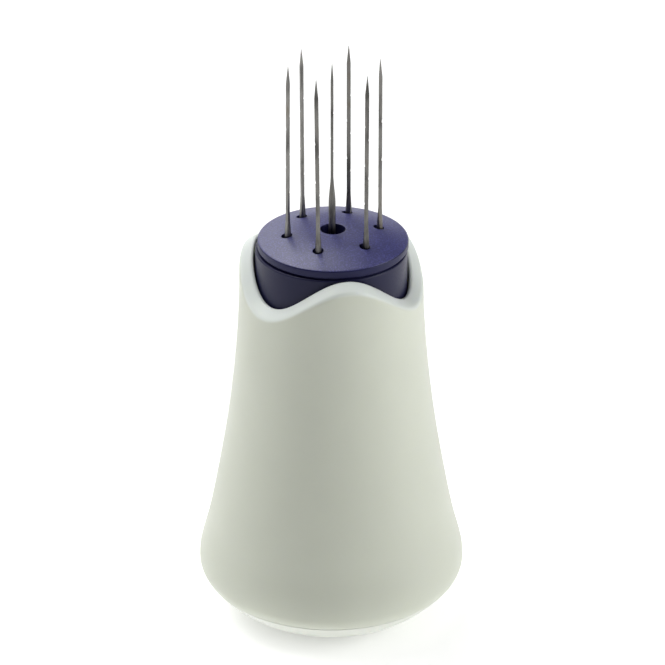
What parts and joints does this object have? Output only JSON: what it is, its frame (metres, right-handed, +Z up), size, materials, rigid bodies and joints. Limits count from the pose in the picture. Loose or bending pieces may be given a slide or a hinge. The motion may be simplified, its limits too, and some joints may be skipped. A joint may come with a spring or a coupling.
{
  "type": "multi-needle felting tool",
  "caption": "Bell-shaped handle with a wavy mouth, holding a pull-out cartridge of barbed felting needles that stand points up through a drilled lid.",
  "frame": {"origin": "centre of the flat foot under the base cap, the lowest point of the tool", "axes": "+Z up the tool's axis towards the needle points; one crest of the wavy rim faces the front, -Y"},
  "size_m": [0.048, 0.048, 0.1049],
  "materials": {
    "handle_white": "soft satin white, very slightly green",
    "base_white": "satin white",
    "sleeve_white": "plain moulded white",
    "screw_steel": "zinc-plated",
    "drum_navy": "smooth navy",
    "ring_rubber": "black nitrile",
    "carrier_navy": "plain moulded navy",
    "pad_rubber": "black sheet rubber",
    "plug_navy": "plain moulded navy",
    "lid_navy": "fine-grained satin navy",
    "needle_steel": "drawn steel wire",
    "fine_needle_steel": "drawn steel wire"
  },
  "bodies": {
    "handle": {"handle_shell": "handle_white", "base_cap": "base_white", "socket_sleeve": "sleeve_white", "sleeve_screws": "screw_steel"},
    "cartridge": {"cartridge_drum": "drum_navy", "friction_ring": "ring_rubber", "needle_carrier": "carrier_navy", "centre_needle": "fine_needle_steel", "outer_needle_1": "needle_steel", "outer_needle_2": "needle_steel", "outer_needle_3": "needle_steel", "outer_needle_4": "needle_steel", "outer_needle_5": "needle_steel", "outer_needle_6": "needle_steel"},
    "lid": {"cartridge_lid": "lid_navy"},
    "clamp_pad": {"clamp_pad": "pad_rubber"},
    "clamp_plug": {"clamp_plug": "plug_navy"}
  },
  "joints": [
    {"name": "cartridge_pull", "type": "slide", "parent": "handle", "child": "cartridge", "axis": [0, 0, 1], "range_m": [0, 0.053]},
    {"name": "lid_pull", "type": "slide", "parent": "cartridge", "child": "lid", "axis": [0, 0, 1], "range_m": [0, 0.041]},
    {"name": "clamp_travel", "type": "slide", "parent": "cartridge", "child": "clamp_pad", "axis": [0, 0, -1], "range_m": [0, 0.00601]},
    {"name": "clamp_turn", "type": "hinge", "parent": "clamp_pad", "child": "clamp_plug", "pos_m": [0, 0, 0.0231], "axis": [0, 0, -1], "range_deg": [0, 360]}
  ],
  "couplings": [
    {"joint": "clamp_travel", "follows": "clamp_turn", "m_per_rad": 0.00095493}
  ]
}
